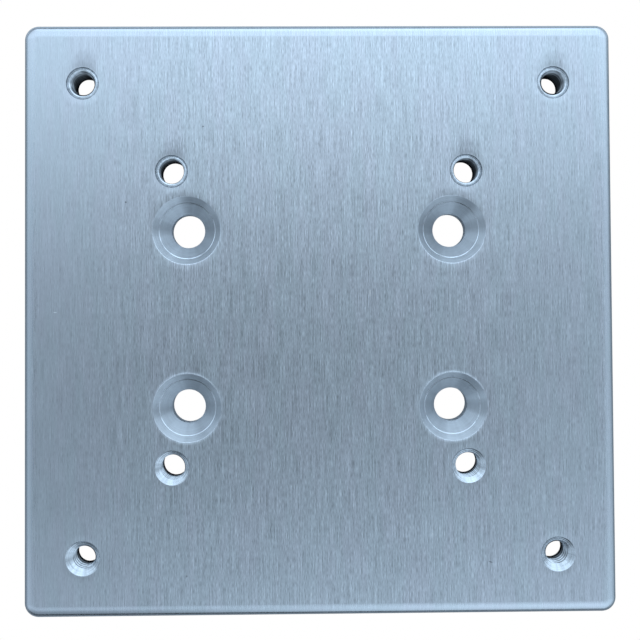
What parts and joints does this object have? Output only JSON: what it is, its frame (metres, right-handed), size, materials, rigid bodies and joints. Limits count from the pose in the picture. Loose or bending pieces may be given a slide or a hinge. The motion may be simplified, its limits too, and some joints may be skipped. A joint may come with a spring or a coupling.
{
  "type": "square mounting plate",
  "caption": "Flat square aluminium plate with tapped and countersunk screw holes, for covering, joining or mounting things on a frame.",
  "frame": {"origin": "centre of the back face", "axes": "+Z out of the countersunk front face, +X along the long side of the countersunk pattern, +Y along the brushing"},
  "size_m": [0.1, 0.1, 0.005],
  "materials": {
    "brushed_aluminium": "bare aluminium, faces brushed along Y, edges rolled smooth, countersinks turned"
  },
  "bodies": {
    "root": {"mounting_plate": "brushed_aluminium"}
  },
  "joints": []
}
